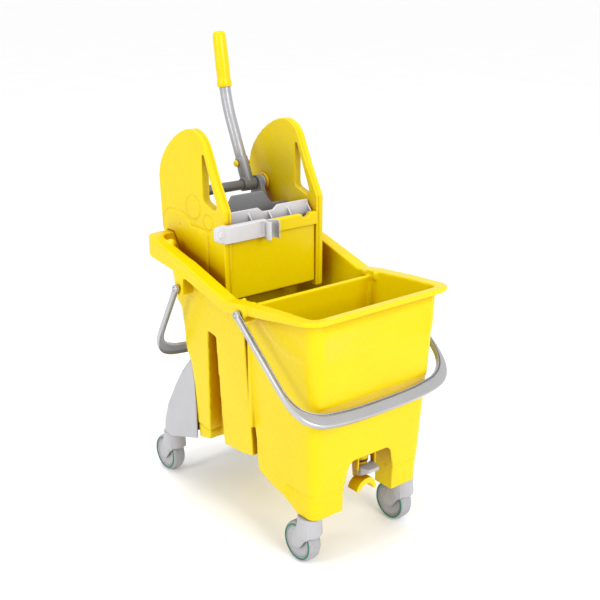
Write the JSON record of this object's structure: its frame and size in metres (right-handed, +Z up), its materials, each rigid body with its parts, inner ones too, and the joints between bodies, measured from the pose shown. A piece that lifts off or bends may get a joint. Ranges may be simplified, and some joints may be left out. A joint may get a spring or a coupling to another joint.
{
  "type": "mop bucket with wringer",
  "caption": "Wheeled two-chamber mop bucket with carrying bails, a drain tap, swivel casters and a lift-off lever wringer",
  "frame": {"origin": "on the floor, under the middle of the overall length and width", "axes": "+X to the right of someone who looks at the front, -Y towards the front (low, drain end), +Z up"},
  "size_m": [0.384, 0.6112, 0.9362],
  "materials": {
    "yellow_plastic": "moulded, satin gloss",
    "light_grey_plastic": "moulded, satin",
    "dark_grey_plastic": "moulded, satin",
    "white_plastic": "moulded, satin",
    "green_plastic": "moulded",
    "tyre_grey": "smooth tread",
    "satin_metal": "satin, silver coated",
    "tube_grey": "silver powder coat",
    "steel": "zinc plated",
    "black_rubber": "matt"
  },
  "bodies": {
    "bucket": {"bucket_body": "yellow_plastic", "drain_plug": "black_rubber", "drain_seal": "black_rubber", "drain_spout": "yellow_plastic", "rear_carriage": "light_grey_plastic", "caster_stem_front_left": "steel", "caster_stem_front_right": "steel", "caster_stem_rear_left": "steel", "caster_stem_rear_right": "steel"},
    "tap": {"drain_paddle": "light_grey_plastic"},
    "front_bail": {"front_bail": "satin_metal", "front_bail_pin_left": "steel", "front_bail_pin_right": "steel"},
    "rear_bail": {"rear_bail": "satin_metal", "rear_bail_pin_left": "steel", "rear_bail_pin_right": "steel"},
    "wringer": {"wringer_cheek_left": "yellow_plastic", "wringer_cheek_right": "yellow_plastic", "wringer_front_panel": "yellow_plastic", "wringer_rear_panel": "yellow_plastic", "wringer_base_grid": "yellow_plastic", "press_plate_front": "white_plastic", "press_plate_pin": "steel", "shaft_flange_left": "yellow_plastic", "shaft_flange_right": "yellow_plastic", "shaft_bush_left": "light_grey_plastic", "shaft_bush_right": "light_grey_plastic", "mop_clip": "white_plastic"},
    "lever": {"press_shaft": "tube_grey", "press_cam_left": "dark_grey_plastic", "press_cam_right": "dark_grey_plastic", "lever_socket": "tube_grey", "lever_tube": "tube_grey", "lever_lock_pin": "yellow_plastic", "lever_grip": "yellow_plastic"},
    "press_plate": {"press_plate_rear": "dark_grey_plastic"},
    "swivel_front_left": {"caster_fork_front_left": "light_grey_plastic", "caster_axle_front_left": "steel"},
    "wheel_front_left": {"caster_tyre_front_left": "tyre_grey", "caster_hub_front_left": "light_grey_plastic", "caster_guard_left_front_left": "green_plastic", "caster_guard_right_front_left": "green_plastic"},
    "swivel_front_right": {"caster_fork_front_right": "light_grey_plastic", "caster_axle_front_right": "steel"},
    "wheel_front_right": {"caster_tyre_front_right": "tyre_grey", "caster_hub_front_right": "light_grey_plastic", "caster_guard_left_front_right": "green_plastic", "caster_guard_right_front_right": "green_plastic"},
    "swivel_rear_left": {"caster_fork_rear_left": "light_grey_plastic", "caster_axle_rear_left": "steel"},
    "wheel_rear_left": {"caster_tyre_rear_left": "tyre_grey", "caster_hub_rear_left": "light_grey_plastic", "caster_guard_left_rear_left": "green_plastic", "caster_guard_right_rear_left": "green_plastic"},
    "swivel_rear_right": {"caster_fork_rear_right": "light_grey_plastic", "caster_axle_rear_right": "steel"},
    "wheel_rear_right": {"caster_tyre_rear_right": "tyre_grey", "caster_hub_rear_right": "light_grey_plastic", "caster_guard_left_rear_right": "green_plastic", "caster_guard_right_rear_right": "green_plastic"}
  },
  "joints": [
    {"name": "wringer_lift", "type": "slide", "parent": "bucket", "child": "wringer", "axis": [0, 0, 1], "range_m": [0, 0.3]},
    {"name": "lever_turn", "type": "hinge", "parent": "wringer", "child": "lever", "pos_m": [0, 0.19967, 0.629], "axis": [-1, 0, 0], "range_deg": [0, 40], "stiffness_Nm_per_rad": 1.5, "springref_deg": -28.65},
    {"name": "press_swing", "type": "hinge", "parent": "wringer", "child": "press_plate", "pos_m": [0, 0.09067, 0.462], "axis": [1, 0, 0], "range_deg": [0, 15]},
    {"name": "front_bail_swing", "type": "hinge", "parent": "bucket", "child": "front_bail", "pos_m": [0, -0.10133, 0.4745], "axis": [-1, 0, 0], "range_deg": [0, 130]},
    {"name": "rear_bail_swing", "type": "hinge", "parent": "bucket", "child": "rear_bail", "pos_m": [0, 0.09867, 0.474], "axis": [1, 0, 0], "range_deg": [0, 90]},
    {"name": "tap_press", "type": "hinge", "parent": "bucket", "child": "tap", "pos_m": [0, -0.24333, 0.166], "axis": [1, 0, 0], "range_deg": [0, 25], "stiffness_Nm_per_rad": 0.05, "springref_deg": -11.46},
    {"name": "swivel_turn_front_left", "type": "hinge", "parent": "bucket", "child": "swivel_front_left", "pos_m": [-0.1194, -0.22553, 0.09], "axis": [0, 0, 1], "continuous": true},
    {"name": "wheel_roll_front_left", "type": "hinge", "parent": "swivel_front_left", "child": "wheel_front_left", "pos_m": [-0.1194, -0.20463, 0.04], "axis": [1, 0, 0], "continuous": true},
    {"name": "swivel_turn_front_right", "type": "hinge", "parent": "bucket", "child": "swivel_front_right", "pos_m": [0.1194, -0.22553, 0.09], "axis": [0, 0, 1], "continuous": true},
    {"name": "wheel_roll_front_right", "type": "hinge", "parent": "swivel_front_right", "child": "wheel_front_right", "pos_m": [0.1194, -0.20463, 0.04], "axis": [1, 0, 0], "continuous": true},
    {"name": "swivel_turn_rear_left", "type": "hinge", "parent": "bucket", "child": "swivel_rear_left", "pos_m": [-0.1194, 0.23867, 0.09], "axis": [0, 0, 1], "continuous": true},
    {"name": "wheel_roll_rear_left", "type": "hinge", "parent": "swivel_rear_left", "child": "wheel_rear_left", "pos_m": [-0.1194, 0.25957, 0.04], "axis": [1, 0, 0], "continuous": true},
    {"name": "swivel_turn_rear_right", "type": "hinge", "parent": "bucket", "child": "swivel_rear_right", "pos_m": [0.1194, 0.23867, 0.09], "axis": [0, 0, 1], "continuous": true},
    {"name": "wheel_roll_rear_right", "type": "hinge", "parent": "swivel_rear_right", "child": "wheel_rear_right", "pos_m": [0.1194, 0.25957, 0.04], "axis": [1, 0, 0], "continuous": true}
  ],
  "couplings": [
    {"joint": "press_swing", "follows": "lever_turn", "ratio": 0.375}
  ]
}
